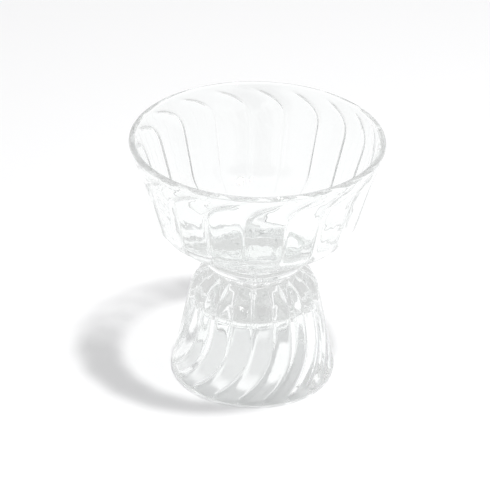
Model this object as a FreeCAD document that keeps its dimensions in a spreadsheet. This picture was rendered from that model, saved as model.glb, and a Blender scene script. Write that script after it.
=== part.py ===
import FreeCAD, Part
import math
import os

import Sketcher
from FreeCAD import Vector

# A footed bowl of clear pressed glass, in three pieces that are joined hot:
#   bowl          thick-walled cup with swirled flutes round the outside and a smooth rim band
#   joining_disc  the round bit of glass that welds the bowl to the foot
#   hollow_foot   bell-shaped foot, hollow and open below, with swirled flutes and a smooth lower band
# Frame: origin on the table at the centre of the foot, +Z up the axis of the glass. Millimetres.

SIZES = {
    # bowl, outside
    "rim_height": 104.5,
    "rim_radius": 50.4,
    "rim_rounding": 1.25,
    "bowl_corner_radius": 39.8,
    "bowl_corner_height": 67.3,
    "bowl_corner_rounding": 14.0,
    "bowl_base_radius": 19.5,
    # bowl, inside
    "rim_inner_radius": 47.7,
    "cavity_corner_radius": 37.2,
    "cavity_corner_height": 69.0,
    "cavity_corner_rounding": 9.0,
    "cavity_floor": 58.5,
    # joining disc
    "disc_top": 54.0,
    "disc_bottom": 50.0,
    "disc_radius": 20.8,
    "disc_edge_rounding": 1.6,
    # foot, outside
    "neck_radius": 17.0,
    "neck_height": 47.0,
    "neck_rounding": 2.5,
    "shoulder_radius": 24.7,
    "shoulder_height": 42.3,
    "shoulder_rounding": 12.0,
    "foot_radius": 33.6,
    "foot_edge_rounding": 1.5,
    # foot, inside
    "foot_inner_radius": 29.8,
    "hollow_edge_rounding": 0.6,
    "hollow_corner_radius": 22.8,
    "hollow_corner_height": 33.0,
    "hollow_corner_rounding": 3.0,
    "hollow_ceiling": 37.5,
    # flutes: narrow grooves with a gently swelling lobe between each two, angles in degrees
    "bowl_flute_count": 19,
    "bowl_groove_width": 1.2,
    "bowl_groove_softness": 0.15,
    "bowl_groove_depth": 0.65,
    "bowl_lobe_swelling": 0.5,
    "bowl_flutes_bottom": 55.5,
    "bowl_flutes_top": 101.5,
    "bowl_flutes_fade": 5.0,
    "bowl_groove_angle": 246.0,
    "bowl_swirl_start": 86.0,
    "bowl_swirl_turn": 18.0,
    "bowl_swirl_power": 4.0,
    "foot_flute_count": 20,
    "foot_groove_width": 1.5,
    "foot_groove_softness": 0.35,
    "foot_groove_depth": 1.3,
    "foot_lobe_swelling": 0.25,
    "foot_flutes_top": 48.5,
    "foot_flutes_bottom": 2.0,
    "foot_flutes_fade": 2.5,
    "foot_groove_angle": 269.0,
    "foot_swirl_start": 30.0,
    "foot_swirl_turn": -28.5,
    "foot_swirl_power": 2.5,
}

# The form that trims the grooves stands this far outside the plain wall, so that the crest of each
# lobe keeps the wall's own surface, and further out past the ends of the flutes.
FORM_CLEARANCE = 0.25
FORM_STAND_OFF = 1.5
# Extra height of a form past each end of its piece.
FORM_OVERRUN = 1.0
RING_SPACING = 2.0
# The flutes end in a smooth band over this height.
BAND_FADE = 1.5
# Points of a ring from crest to crest, as shares of a lobe's width away from the groove.
GROOVE_SIDE = (0.5, 0.32, 0.2, 0.12, 0.065, 0.03)
GROOVE_STEEPNESS = 1.6

doc = FreeCAD.newDocument("footed_bowl")
sheet = doc.addObject("Spreadsheet::Sheet", "Sizes")
for row, (alias, value) in enumerate(SIZES.items(), start=1):
    sheet.set(f"A{row}", alias)
    sheet.set(f"B{row}", str(value))
    sheet.setAlias(f"B{row}", alias)
doc.recompute()


def size(alias):
    return float(sheet.get(alias))


def floor_arc(start, end):
    """Arc about the Z axis point that is as far from start as from end, and whether it runs from
    start to end."""
    low, high = start.y, end.y
    centre = (start.x**2 + low**2 - end.x**2 - high**2) / (2 * (low - high))
    middle = Vector(0, centre, 0)
    angles = [math.atan2(place.y - centre, place.x) for place in (start, end)]
    circle = Part.Circle(middle, Vector(0, 0, 1), start.distanceToPoint(middle))
    return Part.ArcOfCircle(circle, min(angles), max(angles)), angles[0] < angles[1]


def half_section(body, corners, arc_side):
    """Sketch half of a turned section on the body's XZ plane.

    corners holds a (radius alias, height alias) pair for each corner, in order round the section.
    None as a radius puts the corner on the Z axis, and None as a height puts it on the table.
    The side that starts at corner arc_side is an arc centred on the axis.
    """
    sketch = body.newObject("Sketcher::SketchObject", body.Name + "_section")
    plane = next(item for item in body.Origin.OriginFeatures if item.Role == "XZ_Plane")
    sketch.AttachmentSupport = [(plane, "")]
    sketch.MapMode = "FlatFace"
    places = [Vector(size(r) if r else 0, size(z) if z else 0, 0) for r, z in corners]
    ends = []
    for side, start in enumerate(places):
        end = places[(side + 1) % len(places)]
        if side == arc_side:
            arc, forward = floor_arc(start, end)
            sketch.addGeometry(arc, False)
            ends.append((1, 2) if forward else (2, 1))
        else:
            sketch.addGeometry(Part.LineSegment(start, end), False)
            ends.append((1, 2))
    for side, (radius, height) in enumerate(corners):
        last = side - 1 if side else len(corners) - 1
        sketch.addConstraint(
            Sketcher.Constraint("Coincident", last, ends[last][1], side, ends[side][0]))
        for kind, axis, alias in (("DistanceX", -2, radius), ("DistanceY", -1, height)):
            if alias is None:
                sketch.addConstraint(
                    Sketcher.Constraint("PointOnObject", side, ends[side][0], axis))
                continue
            index = sketch.addConstraint(
                Sketcher.Constraint(kind, -1, 1, side, ends[side][0], size(alias)))
            sketch.setExpression(f"Constraints[{index}]", f"Sizes.{alias}")
    sketch.addConstraint(Sketcher.Constraint("PointOnObject", arc_side, 3, -2))
    return sketch


def edge_at(shape, radius, height):
    """Name of the round edge with this radius and height."""
    def miss(edge):
        if edge.Degenerated or not isinstance(edge.Curve, Part.Circle):
            return math.inf
        return abs(edge.Curve.Radius - radius) + abs(edge.Curve.Center.z - height)

    names = range(len(shape.Edges))
    return f"Edge{min(names, key=lambda index: miss(shape.Edges[index])) + 1}"


def turned_body(name, corners, arc_side, roundings):
    """Body turned about Z from a half section, with the corners in roundings rounded off."""
    body = doc.addObject("PartDesign::Body", name)
    sketch = half_section(body, corners, arc_side)
    turned = body.newObject("PartDesign::Revolution", name + "_turned")
    turned.Profile = sketch
    turned.ReferenceAxis = (sketch, ["V_Axis"])
    turned.Angle = 360
    doc.recompute()
    solid = turned
    for radius, height, rounding in roundings:
        fillet = body.newObject("PartDesign::Fillet", f"{name}_{rounding}")
        edge = edge_at(solid.Shape, size(radius), size(height) if height else 0)
        fillet.Base = (solid, [edge])
        fillet.setExpression("Radius", f"Sizes.{rounding}")
        doc.recompute()
        solid = fillet
    body.Tip = solid
    doc.recompute()
    return body


def smooth_step(value):
    value = max(0.0, min(1.0, value))
    return value * value * (3 - 2 * value)


def wall_radius(solid, height):
    """Outermost radius of a turned solid at a height, taken just inside its ends."""
    box = solid.BoundBox
    level = max(box.ZMin + 0.01, min(box.ZMax - 0.01, height))
    ray = Part.makeLine(Vector(0, 0, level), Vector(2 * box.XMax, 0, level))
    return solid.common(ray).BoundBox.XMax


def groove_drop(family, across, pitch):
    """How far the form lies inside its crests, across millimetres away from a groove."""
    softness = size(f"{family}_groove_softness")
    away = math.hypot(across / size(f"{family}_groove_width"), softness) - softness
    narrow = size(f"{family}_groove_depth") * math.exp(-GROOVE_STEEPNESS * away)
    swelling = size(f"{family}_lobe_swelling") + FORM_CLEARANCE
    return narrow + swelling * (1 - math.sin(math.pi * abs(across) / pitch))


def lobed_ring(family, radius, fade, turn, height):
    """Level ring of equal curves that run from crest to crest, each with a groove in its middle."""
    count = int(size(f"{family}_flute_count"))
    pitch = 2 * math.pi * radius / count
    offsets = [-share for share in GROOVE_SIDE] + [0.0] + list(reversed(GROOVE_SIDE))
    points = []
    for offset in offsets:
        reach = radius - fade * groove_drop(family, offset * pitch, pitch)
        angle = math.radians(turn) + 2 * math.pi * offset / count
        points.append(Vector(reach * math.cos(angle), reach * math.sin(angle), height))
    along = [Vector(0, 0, 1).cross(Vector(end.x, end.y, 0)) * (2 * math.pi / count)
             for end in (points[0], points[-1])]
    curve = Part.BSplineCurve()
    curve.interpolate(Points=points, Parameters=[0.5 + offset for offset in offsets],
                      InitialTangent=along[0], FinalTangent=along[1])
    edges = []
    for index in range(count):
        edge = curve.toShape()
        edge.rotate(Vector(), Vector(0, 0, 1), 360 * index / count)
        edges.append(edge)
    return Part.Wire(edges)


def flute_form(family, blank, neck_end, band_end):
    """Solid that leaves the lobes when a plain turned blank is trimmed to it.

    The grooves fade in from neck_end and stop short at band_end. Past the swirl's start they lean
    over more and more, by its turn in degrees at band_end.
    """
    start, turn, power = (size(f"{family}_swirl_{part}") for part in ("start", "turn", "power"))
    neck_fade = size(f"{family}_flutes_fade")
    towards_band = math.copysign(1, band_end - neck_end)
    low, high = blank.BoundBox.ZMin - FORM_OVERRUN, blank.BoundBox.ZMax + FORM_OVERRUN
    count = math.ceil((high - low) / RING_SPACING)
    rings = []
    for step in range(count + 1):
        height = low + (high - low) * step / count
        share = max(0.0, min(1.0, (height - start) / (band_end - start)))
        fade = smooth_step((height - neck_end) * towards_band / neck_fade)
        fade *= smooth_step((band_end - height) * towards_band / BAND_FADE)
        radius = wall_radius(blank, height) + FORM_CLEARANCE + FORM_STAND_OFF * (1 - fade)
        angle = size(f"{family}_groove_angle") + turn * share**power
        rings.append(lobed_ring(family, radius, fade, angle, height))
    form = doc.addObject("Part::Feature", f"{family}_flute_form")
    form.Shape = Part.makeLoft(rings, True, False)
    return form


def fluted_piece(name, blank, form):
    piece = doc.addObject("Part::Common", name)
    piece.Label = name
    piece.Base = blank
    piece.Tool = form
    return piece


def make_bowl():
    blank = turned_body(
        "bowl_blank",
        [
            (None, "disc_top"),
            ("bowl_base_radius", "disc_top"),
            ("bowl_corner_radius", "bowl_corner_height"),
            ("rim_radius", "rim_height"),
            ("rim_inner_radius", "rim_height"),
            ("cavity_corner_radius", "cavity_corner_height"),
            (None, "cavity_floor"),
        ],
        arc_side=5,
        roundings=[
            ("bowl_corner_radius", "bowl_corner_height", "bowl_corner_rounding"),
            ("cavity_corner_radius", "cavity_corner_height", "cavity_corner_rounding"),
            ("rim_radius", "rim_height", "rim_rounding"),
            ("rim_inner_radius", "rim_height", "rim_rounding"),
        ],
    )
    form = flute_form("bowl", blank.Shape, size("bowl_flutes_bottom"), size("bowl_flutes_top"))
    return fluted_piece("bowl", blank, form)


def make_joining_disc():
    disc = doc.addObject("Part::Cylinder", "joining_disc_blank")
    disc.setExpression("Radius", "Sizes.disc_radius")
    disc.setExpression("Height", "Sizes.disc_top - Sizes.disc_bottom")
    disc.setExpression("Placement.Base.z", "Sizes.disc_bottom")
    doc.recompute()
    rounded = doc.addObject("Part::Fillet", "joining_disc")
    rounded.Label = "joining_disc"
    rounded.Base = disc
    rounding = size("disc_edge_rounding")
    ends = (size("disc_bottom"), size("disc_top"))
    names = [edge_at(disc.Shape, size("disc_radius"), height) for height in ends]
    rounded.Edges = [(int(name.removeprefix("Edge")), rounding, rounding) for name in names]
    return rounded


def make_hollow_foot():
    blank = turned_body(
        "foot_blank",
        [
            (None, "disc_bottom"),
            ("neck_radius", "disc_bottom"),
            ("neck_radius", "neck_height"),
            ("shoulder_radius", "shoulder_height"),
            ("foot_radius", None),
            ("foot_inner_radius", None),
            ("hollow_corner_radius", "hollow_corner_height"),
            (None, "hollow_ceiling"),
        ],
        arc_side=6,
        roundings=[
            ("neck_radius", "neck_height", "neck_rounding"),
            ("shoulder_radius", "shoulder_height", "shoulder_rounding"),
            ("hollow_corner_radius", "hollow_corner_height", "hollow_corner_rounding"),
            ("foot_radius", None, "foot_edge_rounding"),
            ("foot_inner_radius", None, "hollow_edge_rounding"),
        ],
    )
    form = flute_form("foot", blank.Shape, size("foot_flutes_top"), size("foot_flutes_bottom"))
    return fluted_piece("hollow_foot", blank, form)


def check(pieces):
    """Stop on any failed object or bad solid."""
    for item in doc.Objects:
        faults = {"Invalid", "Error"} & set(item.State)
        if faults:
            raise RuntimeError(f"{item.Name} failed: {faults}")
    for piece in pieces:
        shape = piece.Shape
        if shape.isNull() or not shape.isValid() or len(shape.Solids) != 1:
            raise RuntimeError(f"{piece.Label} has a bad shape")
        print(piece.Label, f"volume {shape.Volume / 1000:.2f} cm3", shape.BoundBox)


pieces = [make_bowl(), make_joining_disc(), make_hollow_foot()]
doc.recompute()
check(pieces)
os.makedirs("parts", exist_ok=True)
for piece in pieces:
    piece.Shape.exportStep(f"parts/{piece.Label}.step")
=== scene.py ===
import math
from typing import NamedTuple

import bmesh
import bpy
import numpy as np
from mathutils import Matrix, Vector


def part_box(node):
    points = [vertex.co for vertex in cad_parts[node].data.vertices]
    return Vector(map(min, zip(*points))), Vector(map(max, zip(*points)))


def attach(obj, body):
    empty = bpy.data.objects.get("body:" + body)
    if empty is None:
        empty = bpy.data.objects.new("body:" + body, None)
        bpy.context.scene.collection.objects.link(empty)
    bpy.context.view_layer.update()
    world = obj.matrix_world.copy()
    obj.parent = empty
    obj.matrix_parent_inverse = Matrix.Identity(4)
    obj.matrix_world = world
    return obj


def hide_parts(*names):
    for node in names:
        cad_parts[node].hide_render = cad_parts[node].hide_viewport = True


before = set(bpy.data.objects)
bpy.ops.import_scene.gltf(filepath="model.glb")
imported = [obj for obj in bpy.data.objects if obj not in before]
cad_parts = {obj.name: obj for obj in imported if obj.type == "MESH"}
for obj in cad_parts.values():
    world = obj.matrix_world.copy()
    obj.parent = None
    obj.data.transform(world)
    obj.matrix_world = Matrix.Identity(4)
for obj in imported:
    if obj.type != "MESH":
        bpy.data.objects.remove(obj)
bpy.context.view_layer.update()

# A footed bowl of clear glass in three pieces: bowl, joining disc and hollow foot. Each is a closed
# shell turned about the Z axis. The bowl and the foot have swirled flutes.

# ---------------------------------------------------------------- sizes of the glass
# Millimetres and degrees, here and under meshes. The rest of this script is in metres.

MILLIMETRES = 1000              # in a metre


def height(node, end):
    """Height of a CAD node's lowest point, for end 0, or highest point, for end 1."""
    return round(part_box(node)[end][2] * MILLIMETRES, 2)


RIM_HEIGHT = height("bowl", 1)
RIM_MIDDLE = 48.7               # radius of the narrow flat between the two roundings of the rim
RIM_ROUNDING = 1.25
DISC_TOP = height("joining_disc", 1)
DISC_BOTTOM = height("joining_disc", 0)
DISC_RADIUS = 20.8
DISC_ROUNDING = 1.6
DISC_FLAT = DISC_RADIUS - DISC_ROUNDING     # radius of the disc's flat faces
NECK_RADIUS = 17.0
EDGE_MIDDLE = 31.0              # radius of the middle of the foot's standing edge

# Outlines. Each corner is a radius, a height and a rounding. The outside runs from the axis to the
# rim or the standing edge, and the inside back from there to the axis.
BOWL_OUTSIDE = [
    (0, DISC_TOP, 0),
    (DISC_FLAT, DISC_TOP, 0),               # edge of the weld
    (19.5, DISC_TOP, 0),                    # edge of the underside
    (39.8, 67.3, 14),                       # from the flared bottom into the side wall
    (50.4, RIM_HEIGHT, RIM_ROUNDING),       # outer edge of the rim
    (RIM_MIDDLE, RIM_HEIGHT, 0),
]
BOWL_INSIDE = [
    (RIM_MIDDLE, RIM_HEIGHT, 0),
    (47.7, RIM_HEIGHT, RIM_ROUNDING),       # inner edge of the rim
    (37.2, 69, 9),                          # from the side wall into the bottom
    (28, 62.5, 16),                         # the dished floor, in two steps
    (15, 59.2, 16),
    (0, 58.5, 0),                           # middle of the floor
]
DISC_OUTLINE = [
    (0, DISC_BOTTOM, 0),
    (NECK_RADIUS, DISC_BOTTOM, 0),          # edge of the weld to the foot
    (DISC_RADIUS, DISC_BOTTOM, DISC_ROUNDING),
    (DISC_RADIUS, DISC_TOP, DISC_ROUNDING),
    (DISC_FLAT, DISC_TOP, 0),
    (0, DISC_TOP, 0),
]
FOOT_OUTSIDE = [
    (0, DISC_BOTTOM, 0),
    (NECK_RADIUS, DISC_BOTTOM, 0),
    (NECK_RADIUS, 47, 2.5),                 # from the neck into the shoulder
    (24.7, 42.3, 12),                       # the shoulder
    (33.6, 0, 1.6),                         # outer corner of the standing edge
    (EDGE_MIDDLE, 0, 0),
]
FOOT_INSIDE = [
    (EDGE_MIDDLE, 0, 0),
    (29.8, 0, 0.7),                         # inner corner of the standing edge
    (22.8, 33, 3),                          # from the side of the hollow into its ceiling
    (12, 36.2, 14),                         # the domed ceiling
    (0, 37.5, 0),                           # middle of the ceiling
]

GROOVE_STEEPNESS = 1.6
GROOVE_SOFTNESS = 0.35          # of the groove's bottom, as a share of its width


def smooth_step(x):
    x = np.clip(x, 0, 1)
    return x * x * (3 - 2 * x)


class Flutes(NamedTuple):
    """Narrow grooves round a piece, with a gently swelling lobe between each two."""

    count: int
    groove_width: float
    groove_depth: float
    lobe_swelling: float        # height of a lobe's middle over its edges
    inner_share: float          # share of the depth that the inside of the wall follows
    groove_angle: float         # of one groove, before its swirl
    swirl_start: float          # height where the swirl begins
    swirl_height: float         # height over which it turns, negative if downwards
    swirl_turn: float
    swirl_power: float
    bottom: float               # height of the flutes' lower end
    bottom_fade: float          # height over which they reach their full depth
    top: float
    top_fade: float

    def strength(self, z):
        """Share of their depth that the flutes have at height z."""
        from_bottom = smooth_step((z - self.bottom) / self.bottom_fade)
        return from_bottom * smooth_step((self.top - z) / self.top_fade)

    def angle(self, z):
        """Angle of one groove at height z."""
        share = np.clip((z - self.swirl_start) / self.swirl_height, 0, 1)
        return self.groove_angle + self.swirl_turn * share ** self.swirl_power

    def drop(self, across, pitch):
        """How far the surface lies under the crests, at a distance across from a groove's middle."""
        away = np.hypot(across / self.groove_width, GROOVE_SOFTNESS) - GROOVE_SOFTNESS
        groove = self.groove_depth * np.exp(-GROOVE_STEEPNESS * away)
        return groove + self.lobe_swelling * (1 - np.sin(np.pi * np.abs(across) / pitch))


BOWL_FLUTES = Flutes(
    count=19, groove_width=1.0, groove_depth=0.55, lobe_swelling=0.35, inner_share=0.2,
    groove_angle=246.0, swirl_start=86.0, swirl_height=15.5, swirl_turn=18.0, swirl_power=4.0,
    bottom=55.5, bottom_fade=5.0, top=101.5, top_fade=1.5)
FOOT_FLUTES = Flutes(
    count=20, groove_width=1.15, groove_depth=1.4, lobe_swelling=0.12, inner_share=0.15,
    groove_angle=269.0, swirl_start=30.0, swirl_height=-28.0, swirl_turn=-28.5, swirl_power=2.5,
    bottom=2.0, bottom_fade=1.5, top=48.5, top_fade=2.5)
# The disc has the foot's columns of faces, but its side is smooth.
NO_FLUTES = FOOT_FLUTES._replace(
    groove_depth=0.0, lobe_swelling=0.0, groove_angle=0.0, swirl_turn=0.0)

# ---------------------------------------------------------------- meshes
ARC_STEP = math.radians(5)      # most that a rounding turns between two points
ROW_SPACING = 0.85              # longest stretch of an outline between two rings of vertices
DISC_ROW_SPACING = 0.6
LOBE_COLUMNS = 22               # across one lobe, closer together towards the groove
EVEN_SPREAD = 0.35              # 1 would space the columns evenly
SPREAD_POWER = 2.2
TOUCHING = 1e-6                 # points nearer than this are one point
DOUBLE_VERTEX = 1e-7            # metres; vertices nearer than this are merged

GLASS_SLOT, WELD_SLOT = 0, 1


def rounded(corners):
    """The outline through the corners, each rounded by its own radius."""
    points = []
    for i, (r, z, rounding) in enumerate(corners):
        corner = np.array([r, z], float)
        if rounding == 0 or i in (0, len(corners) - 1):
            points.append(corner)
            continue
        back = np.array(corners[i - 1][:2], float) - corner
        ahead = np.array(corners[i + 1][:2], float) - corner
        back /= np.linalg.norm(back)
        ahead /= np.linalg.norm(ahead)
        half = math.acos(np.clip(back @ ahead, -1, 1)) / 2
        inwards = (back + ahead) / np.linalg.norm(back + ahead)
        centre = corner + inwards * (rounding / math.sin(half))
        start = corner + back * rounding / math.tan(half) - centre
        end = corner + ahead * rounding / math.tan(half) - centre
        sweep = math.pi - 2 * half
        steps = math.ceil(sweep / ARC_STEP)
        for k in range(steps + 1):
            from_start = math.sin((1 - k / steps) * sweep) * start
            from_end = math.sin(k / steps * sweep) * end
            points.append(centre + (from_start + from_end) / math.sin(sweep))
    return np.array(points)


def divided(points, spacing):
    """The same line with no stretch longer than the spacing."""
    out = [points[0]]
    for start, end in zip(points, points[1:]):
        length = np.linalg.norm(end - start)
        if length < TOUCHING:
            continue
        parts = math.ceil(length / spacing)
        for k in range(parts):
            out.append(start + (end - start) * (k + 1) / parts)
    return np.array(out)


def lobe_offsets():
    """Places of a lobe's columns, as shares of its width either way from the groove at 0."""
    column = np.arange(LOBE_COLUMNS)
    share = np.abs(column / LOBE_COLUMNS * 2 - 1)
    side = np.sign(column - LOBE_COLUMNS / 2)
    return side * (EVEN_SPREAD * share + (1 - EVEN_SPREAD) * share ** SPREAD_POWER) / 2


def ring(bm, r, z, depth_share, flutes):
    """A fluted ring of vertices, or one vertex on the axis."""
    if r < TOUCHING:
        return [bm.verts.new((0, 0, z / MILLIMETRES))]
    offsets = lobe_offsets()
    pitch = 2 * math.pi * r / flutes.count
    across = np.tile(offsets, flutes.count) * pitch
    drop = depth_share * flutes.strength(z) * flutes.drop(across, pitch)
    radius = (r - drop) / MILLIMETRES
    turns = (np.arange(flutes.count)[:, None] + offsets[None, :]).ravel() / flutes.count
    theta = 2 * math.pi * turns + math.radians(flutes.angle(z))
    places = zip(radius * np.cos(theta), radius * np.sin(theta))
    return [bm.verts.new((x, y, z / MILLIMETRES)) for x, y in places]


def join_rings(bm, first, second, slot):
    columns = max(len(first), len(second))
    for i in range(columns):
        j = (i + 1) % columns
        if len(first) == 1:
            corners = (first[0], second[j], second[i])
        elif len(second) == 1:
            corners = (first[i], first[j], second[0])
        else:
            corners = (first[i], first[j], second[j], second[i])
        face = bm.faces.new(corners)
        face.smooth = True
        face.material_index = slot


def turned_piece(name, outside, inside, flutes, welds, spacing=ROW_SPACING):
    """A closed fluted shell. welds gives, for a height, the radius within which its flat face is
    fused to the next piece."""
    rows = [(r, z, 1.0) for r, z in divided(rounded(outside), spacing)]
    if inside:
        inner = divided(rounded(inside), spacing)[1:]
        rows += [(r, z, flutes.inner_share) for r, z in inner]
    bm = bmesh.new()
    rings = [ring(bm, *row, flutes) for row in rows]
    for k in range(len(rows) - 1):
        (r, z, _), (next_r, next_z, _) = rows[k:k + 2]
        fused = z == next_z and max(r, next_r) <= welds.get(z, -1) + TOUCHING
        join_rings(bm, rings[k], rings[k + 1], WELD_SLOT if fused else GLASS_SLOT)
    bmesh.ops.remove_doubles(bm, verts=bm.verts, dist=DOUBLE_VERTEX)
    bmesh.ops.recalc_face_normals(bm, faces=bm.faces)
    mesh = bpy.data.meshes.new(name)
    bm.to_mesh(mesh)
    bm.free()
    piece = bpy.data.objects.new(name, mesh)
    bpy.context.collection.objects.link(piece)
    return piece


bowl = turned_piece(
    "bowl_glass", BOWL_OUTSIDE, BOWL_INSIDE, BOWL_FLUTES, {DISC_TOP: DISC_FLAT})
disc = turned_piece(
    "joining_disc_glass", DISC_OUTLINE, [], NO_FLUTES,
    {DISC_TOP: DISC_FLAT, DISC_BOTTOM: NECK_RADIUS}, DISC_ROW_SPACING)
foot = turned_piece(
    "hollow_foot_glass", FOOT_OUTSIDE, FOOT_INSIDE, FOOT_FLUTES, {DISC_BOTTOM: NECK_RADIUS})

# ---------------------------------------------------------------- glass
TINT = (0.985, 0.995, 0.990, 1)
REFRACTIVE_INDEX = 1.5
WAVE_SCALE = 130.0              # waves to a metre
WAVE_DETAIL = 1.5
WAVE_STRENGTH = 0.5
WAVE_HEIGHT = 0.00025
DULL_FROM, DULL_TO = 0.45, 0.75             # wave values between which the polish fades
DULLEST = 0.03                  # roughness where it has faded
# How much lamp light passes a wall: most where it meets the wall squarely, least where edge on.
SQUARE_PASS = (0.955, 0.955, 0.955, 1)
EDGE_PASS = (0.43, 0.43, 0.435, 1)
SQUARE_UNTIL, EDGE_FROM = 0.455, 0.52       # facing values, 0 square on and 1 edge on
FACING_BLEND = 0.5
# Painted shade: lamp light through the fused joints is dimmed to this share, which darkens the floor
# inside the foot.
JOINT_SHADE_PASS = (0.83, 0.83, 0.83, 1)


def add_node(tree, kind, **inputs):
    """A new shader node. In an argument's name, underscores stand for the socket's spaces."""
    node = tree.nodes.new("ShaderNode" + kind)
    for socket, value in inputs.items():
        node.inputs[socket.replace("_", " ")].default_value = value
    return node


def set_ramp(ramp, low, low_colour, high, high_colour):
    first, last = ramp.color_ramp.elements
    first.position, first.color = low, low_colour
    last.position, last.color = high, high_colour


def new_material(name):
    material = bpy.data.materials.new(name)
    material.use_nodes = True
    return material


def end_with_lamp_shader(tree, seen, for_lamps):
    """Join two shaders to the surface: one that is seen, and one that lamp light passes through."""
    path = add_node(tree, "LightPath")
    mix = add_node(tree, "MixShader")
    tree.links.new(path.outputs["Is Shadow Ray"], mix.inputs["Fac"])
    tree.links.new(seen.outputs["BSDF"], mix.inputs[1])
    tree.links.new(for_lamps.outputs["BSDF"], mix.inputs[2])
    tree.links.new(mix.outputs["Shader"], tree.nodes["Material Output"].inputs["Surface"])


def glass_material():
    """Glass with a wavering surface, fire-polished nearly everywhere and a touch duller in patches."""
    material = new_material("pressed_glass")
    tree = material.node_tree
    body = tree.nodes["Principled BSDF"]
    body.inputs["Base Color"].default_value = TINT
    body.inputs["IOR"].default_value = REFRACTIVE_INDEX
    body.inputs["Transmission Weight"].default_value = 1.0
    place = add_node(tree, "TexCoord")
    waves = add_node(tree, "TexNoise", Scale=WAVE_SCALE, Detail=WAVE_DETAIL)
    bump = add_node(tree, "Bump", Strength=WAVE_STRENGTH, Distance=WAVE_HEIGHT)
    dulling = add_node(
        tree, "MapRange", From_Min=DULL_FROM, From_Max=DULL_TO, To_Min=0.0, To_Max=DULLEST)
    tree.links.new(place.outputs["Object"], waves.inputs["Vector"])
    tree.links.new(waves.outputs["Fac"], bump.inputs["Height"])
    tree.links.new(bump.outputs["Normal"], body.inputs["Normal"])
    tree.links.new(waves.outputs["Fac"], dulling.inputs["Value"])
    tree.links.new(dulling.outputs["Result"], body.inputs["Roughness"])
    edge = add_node(tree, "LayerWeight", Blend=FACING_BLEND)
    passed = add_node(tree, "ValToRGB")
    set_ramp(passed, SQUARE_UNTIL, SQUARE_PASS, EDGE_FROM, EDGE_PASS)
    through = add_node(tree, "BsdfTransparent")
    tree.links.new(edge.outputs["Facing"], passed.inputs["Fac"])
    tree.links.new(passed.outputs["Color"], through.inputs["Color"])
    end_with_lamp_shader(tree, body, through)
    return material


def weld_material():
    """Where two pieces are fused there is nothing to see: what the camera sees goes straight on. Lamp
    light is dimmed there, a painted shade that darkens the floor inside the foot.
    """
    material = new_material("fused_joint")
    tree = material.node_tree
    clear = add_node(tree, "BsdfTransparent")
    dimmed = add_node(tree, "BsdfTransparent", Color=JOINT_SHADE_PASS)
    end_with_lamp_shader(tree, clear, dimmed)
    tree.nodes.remove(tree.nodes["Principled BSDF"])
    return material


glass = glass_material()
weld = weld_material()
for piece, node in ((bowl, "bowl"), (disc, "joining_disc"), (foot, "hollow_foot")):
    piece.data.materials.append(glass)      # GLASS_SLOT
    piece.data.materials.append(weld)       # WELD_SLOT
    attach(piece, "root")
    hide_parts(node)

# ---------------------------------------------------------------- table
TABLE_SIZE = 6.0
TABLE_DROP = 0.0001             # keeps the table clear of the standing edge
TABLE_COLOUR = (0.90, 0.90, 0.905, 1)
TABLE_ROUGHNESS = 0.9
TABLE_GLOSS = 0.2


def table_material():
    material = new_material("white_table")
    body = material.node_tree.nodes["Principled BSDF"]
    body.inputs["Base Color"].default_value = TABLE_COLOUR
    body.inputs["Roughness"].default_value = TABLE_ROUGHNESS
    body.inputs["Specular IOR Level"].default_value = TABLE_GLOSS
    return material


reach = TABLE_SIZE / 2
table_corners = [(-reach, -reach, 0), (reach, -reach, 0), (reach, reach, 0), (-reach, reach, 0)]
floor_mesh = bpy.data.meshes.new("floor")
floor_mesh.from_pydata(table_corners, [], [(0, 1, 2, 3)])
floor_mesh.materials.append(table_material())
floor = bpy.data.objects.new("floor", floor_mesh)
floor.location.z = -TABLE_DROP
bpy.context.collection.objects.link(floor)

# ---------------------------------------------------------------- surroundings and lamp
ROOM_LIGHT = 0.68
HORIZON_LEVEL = 1.1             # at the horizon and below it, beside 1 overhead
OVERHEAD_FROM = 0.7             # sine of the elevation from which the level is 1
# The side of the room behind the camera is unlit.
DARK_SIDE = Vector((0, -0.84, 0.54))
DARK_FROM, DARK_TO = 0.80, 0.90             # cosines of the angle from it, over which it darkens
DARK_LEVEL = 0.05

GLASS_MIDDLE = Vector((0, 0, 0.05))
KEY_POWER = 10.7
KEY_SIZE = 0.095
KEY_PLACE = Vector((0.238, -0.185, 1.30))


def grey(level):
    return (level, level, level, 1)


def light_room():
    world = bpy.data.worlds.new("studio")
    bpy.context.scene.world = world
    world.use_nodes = True
    world.cycles.sampling_method = "NONE"
    tree = world.node_tree
    background = tree.nodes["Background"]
    background.inputs["Strength"].default_value = ROOM_LIGHT
    direction = add_node(tree, "TexCoord").outputs["Generated"]
    apart = add_node(tree, "SeparateXYZ")
    room = add_node(tree, "ValToRGB")
    set_ramp(room, 0.0, grey(HORIZON_LEVEL), OVERHEAD_FROM, grey(1))
    tree.links.new(direction, apart.inputs["Vector"])
    tree.links.new(apart.outputs["Z"], room.inputs["Fac"])
    towards = add_node(tree, "VectorMath")
    towards.operation = "DOT_PRODUCT"
    towards.inputs[1].default_value = DARK_SIDE.normalized()
    dimming = add_node(
        tree, "MapRange", From_Min=DARK_FROM, From_Max=DARK_TO, To_Min=1.0, To_Max=DARK_LEVEL)
    dimming.interpolation_type = "SMOOTHSTEP"
    tree.links.new(direction, towards.inputs[0])
    tree.links.new(towards.outputs["Value"], dimming.inputs["Value"])
    product = add_node(tree, "VectorMath")
    product.operation = "SCALE"
    tree.links.new(room.outputs["Color"], product.inputs[0])
    tree.links.new(dimming.outputs["Result"], product.inputs["Scale"])
    tree.links.new(product.outputs["Vector"], background.inputs["Color"])


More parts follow.
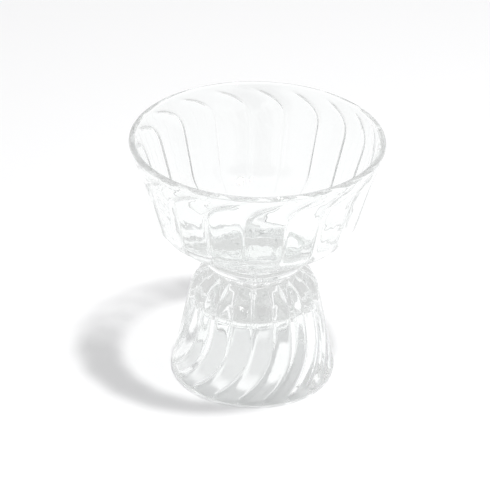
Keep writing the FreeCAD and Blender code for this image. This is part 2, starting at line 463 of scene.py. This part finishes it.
def add_key_light():
    """A small lamp overhead. It casts the shadow and shines in gloss, but isn't seen through glass."""
    lamp = bpy.data.lights.new("key_light", "AREA")
    lamp.shape = "DISK"
    lamp.size = KEY_SIZE
    lamp.energy = KEY_POWER
    key = bpy.data.objects.new("key_light", lamp)
    bpy.context.collection.objects.link(key)
    key.visible_transmission = False
    key.location = KEY_PLACE
    key.rotation_euler = (GLASS_MIDDLE - KEY_PLACE).to_track_quat("-Z", "Y").to_euler()


light_room()
add_key_light()

# ---------------------------------------------------------------- camera and light paths
CAMERA_PLACE = Vector((0, -0.8054, 0.5221))
CAMERA_AIM = Vector((-0.00407, 0, 0.05591))
CAMERA_ROLL = math.radians(1.073)
CAMERA_LENS = 171.57            # millimetres, on a sensor SENSOR_WIDTH millimetres wide
SENSOR_WIDTH = 36
CAMERA_REACH = 20


def add_camera():
    data = bpy.data.cameras.new("camera")
    data.lens = CAMERA_LENS
    data.sensor_width = SENSOR_WIDTH
    data.clip_end = CAMERA_REACH
    camera = bpy.data.objects.new("camera", data)
    bpy.context.collection.objects.link(camera)
    ahead = (CAMERA_AIM - CAMERA_PLACE).normalized()
    side = ahead.cross(Vector((0, 0, 1))).normalized()
    over = side.cross(ahead)
    right = side * math.cos(CAMERA_ROLL) + over * math.sin(CAMERA_ROLL)
    up = over * math.cos(CAMERA_ROLL) - side * math.sin(CAMERA_ROLL)
    turn = Matrix((right, up, -ahead)).transposed()
    camera.matrix_world = Matrix.Translation(CAMERA_PLACE) @ turn.to_4x4()
    return camera


scene = bpy.context.scene
scene.camera = add_camera()
scene.view_settings.view_transform = "Standard"

# Light turns back many times inside the walls, and glass goes dark where it is cut off before it
# gets out, so the limits are high.
scene.cycles.max_bounces = 256
scene.cycles.transmission_bounces = 128
scene.cycles.glossy_bounces = 128
scene.cycles.diffuse_bounces = 4
scene.cycles.transparent_max_bounces = 24
scene.cycles.caustics_reflective = True
scene.cycles.caustics_refractive = True
scene.cycles.blur_glossy = 0.0
scene.cycles.sample_clamp_indirect = 4.0
